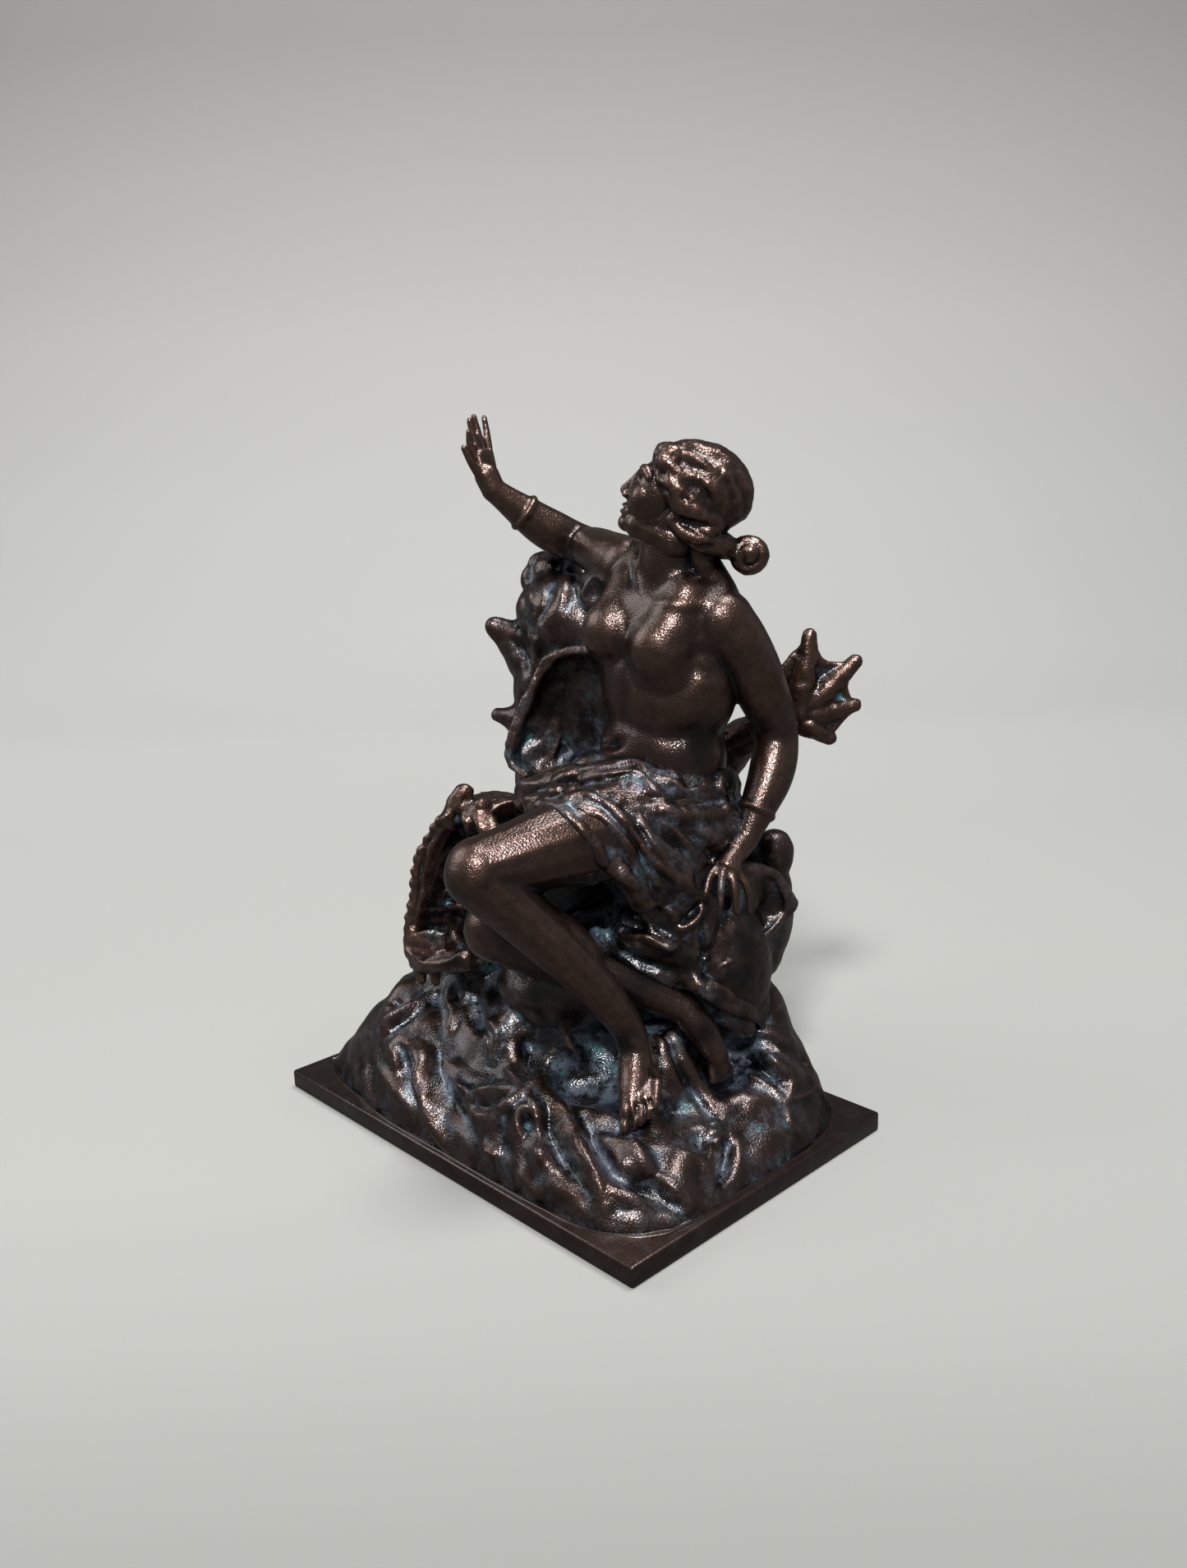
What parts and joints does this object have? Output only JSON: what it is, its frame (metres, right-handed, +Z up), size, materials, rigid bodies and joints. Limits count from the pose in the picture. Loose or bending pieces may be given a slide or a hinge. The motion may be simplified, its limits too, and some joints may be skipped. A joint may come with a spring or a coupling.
{
  "type": "mythological figure sculpture",
  "caption": "Desk sculpture of a seated draped woman on a rock, one arm raised, with a sea monster winding behind her, on a flat rectangular plate.",
  "frame": {"origin": "centre of the plate's underside", "axes": "+Z up, +X along the plate's long side to the figure's left, -Y to the front, where her knees point"},
  "size_m": [0.146, 0.1169, 0.1994],
  "materials": {
    "bronze_paint": "dark brown metallic paint over cast resin, copper on the raised forms, with a blue-grey to teal wash in the hollows"
  },
  "bodies": {
    "root": {"sculpture": "bronze_paint"}
  },
  "joints": []
}
